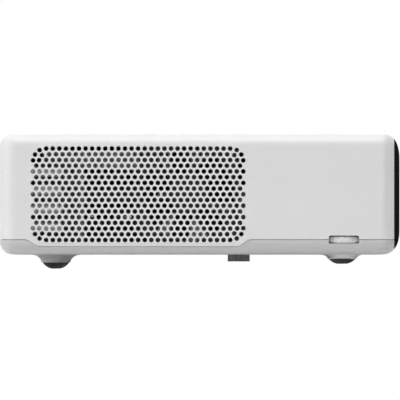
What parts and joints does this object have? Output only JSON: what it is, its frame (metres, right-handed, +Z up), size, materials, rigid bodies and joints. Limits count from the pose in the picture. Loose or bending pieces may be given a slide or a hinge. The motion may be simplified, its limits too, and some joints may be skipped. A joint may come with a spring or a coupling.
{
  "type": "projector with built in disc player",
  "caption": "Low box shaped home projector with a disc tray in its side, a perforated side grille, screw feet, a lens with focus and zoom rings, and a top keypad.",
  "frame": {"origin": "centre of the bounding box's foot, level with the soles of the rear feet", "axes": "+X towards the lens and the black front, +Y towards the side with the disc tray, +Z up; the pictured side faces -Y"},
  "size_m": [0.28, 0.34, 0.0944],
  "materials": {
    "case_white": "fine satin moulded ABS, white",
    "case_grey": "satin moulded ABS, pale grey white",
    "gloss_black": "glossy black acrylic",
    "ir_red": "dark red translucent plastic",
    "screw_steel": "zinc plated steel",
    "insert_brass": "turned brass",
    "foot_rubber": "black rubber",
    "lens_black": "matt black",
    "barrel_grey": "dark grey",
    "ring_grey": "dark grey satin",
    "lens_glass": "coated clear glass",
    "button_grey": "satin pale grey",
    "light_lens": "clear light pipe",
    "board_green": "green solder mask",
    "board_tan": "tan laminate",
    "drive_steel": "pressed zinc coated sheet",
    "tray_plastic": "dark grey matt",
    "engine_metal": "die cast",
    "lamp_black": "dark heat resistant plastic",
    "reflector_glass": "dichroic coated glass",
    "fan_black": "black",
    "socket_metal": "nickel plated"
  },
  "bodies": {
    "case": {"upper_case": "case_white", "side_grille": "case_white", "lower_case": "case_grey", "front_bezel": "case_white", "front_panel": "gloss_black", "rear_panel": "case_grey", "lamp_cover": "case_grey", "case_screws": "screw_steel", "mount_inserts": "insert_brass", "rear_feet": "foot_rubber", "lens_barrel": "barrel_grey", "lens_surround": "lens_black", "ring_well": "case_grey", "ir_window": "ir_red", "status_lights": "light_lens", "keypad_board": "board_green", "drive_chassis": "drive_steel", "drive_cover": "drive_steel", "main_board": "board_green", "power_board": "board_tan", "optical_engine": "engine_metal", "lamp_holder": "lamp_black", "lamp_reflector": "reflector_glass", "fan_frame": "fan_black", "heat_sink": "engine_metal", "speakers": "fan_black", "power_inlet": "fan_black", "signal_sockets": "socket_metal"},
    "right_wheel": {"right_thumbwheel": "case_white"},
    "left_wheel": {"left_thumbwheel": "case_white"},
    "right_foot": {"right_foot_stem": "screw_steel", "right_foot_pad": "foot_rubber"},
    "left_foot": {"left_foot_stem": "screw_steel", "left_foot_pad": "foot_rubber"},
    "focus_ring": {"focus_ring": "ring_grey"},
    "zoom_ring": {"zoom_ring": "ring_grey"},
    "focus_group": {"focus_cell": "lens_black", "front_lens": "lens_glass"},
    "zoom_group": {"zoom_cell": "lens_black", "zoom_lens": "lens_glass"},
    "tray": {"disc_tray": "tray_plastic", "tray_bezel": "case_white", "spindle_motor": "screw_steel", "guide_rods": "screw_steel"},
    "rails": {"tray_rails": "drive_steel"},
    "turntable": {"turntable": "tray_plastic"},
    "sled": {"pickup_sled": "tray_plastic"},
    "lead_screw": {"lead_screw": "screw_steel"},
    "fan_rotor": {"fan_rotor": "fan_black"},
    "power_button": {"power_button": "button_grey"},
    "source_button": {"source_button": "button_grey"},
    "menu_button": {"menu_button": "button_grey"},
    "enter_button": {"enter_button": "button_grey"},
    "up_button": {"up_button": "button_grey"},
    "down_button": {"down_button": "button_grey"},
    "left_button": {"left_button": "button_grey"},
    "right_button": {"right_button": "button_grey"},
    "play_button": {"play_button": "button_grey"},
    "stop_button": {"stop_button": "button_grey"},
    "eject_button": {"eject_button": "button_grey"}
  },
  "joints": [
    {"name": "right_wheel_turn", "type": "hinge", "parent": "case", "child": "right_wheel", "pos_m": [0.1008, -0.1518, 0.0202], "axis": [0, 0, 1], "range_deg": [0, 2880]},
    {"name": "left_wheel_turn", "type": "hinge", "parent": "case", "child": "left_wheel", "pos_m": [0.1008, 0.1518, 0.0202], "axis": [0, 0, 1], "range_deg": [0, 2880]},
    {"name": "right_foot_slide", "type": "slide", "parent": "case", "child": "right_foot", "axis": [0, 0, -1], "range_m": [0, 0.012]},
    {"name": "left_foot_slide", "type": "slide", "parent": "case", "child": "left_foot", "axis": [0, 0, -1], "range_m": [0, 0.012]},
    {"name": "focus_turn", "type": "hinge", "parent": "case", "child": "focus_ring", "pos_m": [0.1, -0.038, 0.051], "axis": [1, 0, 0], "range_deg": [-60, 60]},
    {"name": "focus_slide", "type": "slide", "parent": "case", "child": "focus_group", "axis": [1, 0, 0], "range_m": [-0.0015, 0.0015]},
    {"name": "zoom_turn", "type": "hinge", "parent": "case", "child": "zoom_ring", "pos_m": [0.077, -0.038, 0.051], "axis": [1, 0, 0], "range_deg": [-18, 18]},
    {"name": "zoom_slide", "type": "slide", "parent": "case", "child": "zoom_group", "axis": [1, 0, 0], "range_m": [-0.004, 0.004]},
    {"name": "power_button_press", "type": "slide", "parent": "case", "child": "power_button", "axis": [0, 0, -1], "range_m": [0, 0.0006], "stiffness_N_per_m": 400},
    {"name": "source_button_press", "type": "slide", "parent": "case", "child": "source_button", "axis": [0, 0, -1], "range_m": [0, 0.0006], "stiffness_N_per_m": 400},
    {"name": "menu_button_press", "type": "slide", "parent": "case", "child": "menu_button", "axis": [0, 0, -1], "range_m": [0, 0.0006], "stiffness_N_per_m": 400},
    {"name": "enter_button_press", "type": "slide", "parent": "case", "child": "enter_button", "axis": [0, 0, -1], "range_m": [0, 0.0006], "stiffness_N_per_m": 400},
    {"name": "up_button_press", "type": "slide", "parent": "case", "child": "up_button", "axis": [0, 0, -1], "range_m": [0, 0.0006], "stiffness_N_per_m": 400},
    {"name": "down_button_press", "type": "slide", "parent": "case", "child": "down_button", "axis": [0, 0, -1], "range_m": [0, 0.0006], "stiffness_N_per_m": 400},
    {"name": "left_button_press", "type": "slide", "parent": "case", "child": "left_button", "axis": [0, 0, -1], "range_m": [0, 0.0006], "stiffness_N_per_m": 400},
    {"name": "right_button_press", "type": "slide", "parent": "case", "child": "right_button", "axis": [0, 0, -1], "range_m": [0, 0.0006], "stiffness_N_per_m": 400},
    {"name": "play_button_press", "type": "slide", "parent": "case", "child": "play_button", "axis": [0, 0, -1], "range_m": [0, 0.0006], "stiffness_N_per_m": 400},
    {"name": "stop_button_press", "type": "slide", "parent": "case", "child": "stop_button", "axis": [0, 0, -1], "range_m": [0, 0.0006], "stiffness_N_per_m": 400},
    {"name": "eject_button_press", "type": "slide", "parent": "case", "child": "eject_button", "axis": [0, 0, -1], "range_m": [0, 0.0006], "stiffness_N_per_m": 400},
    {"name": "tray_slide", "type": "slide", "parent": "case", "child": "tray", "axis": [0, 1, 0], "range_m": [0, 0.126]},
    {"name": "rail_slide", "type": "slide", "parent": "case", "child": "rails", "axis": [0, 1, 0], "range_m": [0, 0.063]},
    {"name": "turntable_spin", "type": "hinge", "parent": "tray", "child": "turntable", "pos_m": [-0.048, 0.1043, 0.077], "axis": [0, 0, 1], "continuous": true},
    {"name": "pickup_slide", "type": "slide", "parent": "tray", "child": "sled", "axis": [0, -1, 0], "range_m": [0, 0.028]},
    {"name": "lead_screw_turn", "type": "hinge", "parent": "tray", "child": "lead_screw", "pos_m": [-0.033, 0.0743, 0.0737], "axis": [0, 1, 0], "range_deg": [0, 3361]},
    {"name": "fan_spin", "type": "hinge", "parent": "case", "child": "fan_rotor", "pos_m": [-0.008, -0.153, 0.052], "axis": [0, 1, 0], "continuous": true}
  ],
  "couplings": [
    {"joint": "right_wheel_turn", "follows": "right_foot_slide", "rad_per_m": 4188.7},
    {"joint": "left_wheel_turn", "follows": "left_foot_slide", "rad_per_m": 4188.7},
    {"joint": "focus_slide", "follows": "focus_turn", "m_per_rad": 0.0014324},
    {"joint": "zoom_slide", "follows": "zoom_turn", "m_per_rad": 0.012732},
    {"joint": "rail_slide", "follows": "tray_slide", "ratio": 0.5},
    {"joint": "lead_screw_turn", "follows": "pickup_slide", "rad_per_m": 2094.4}
  ]
}
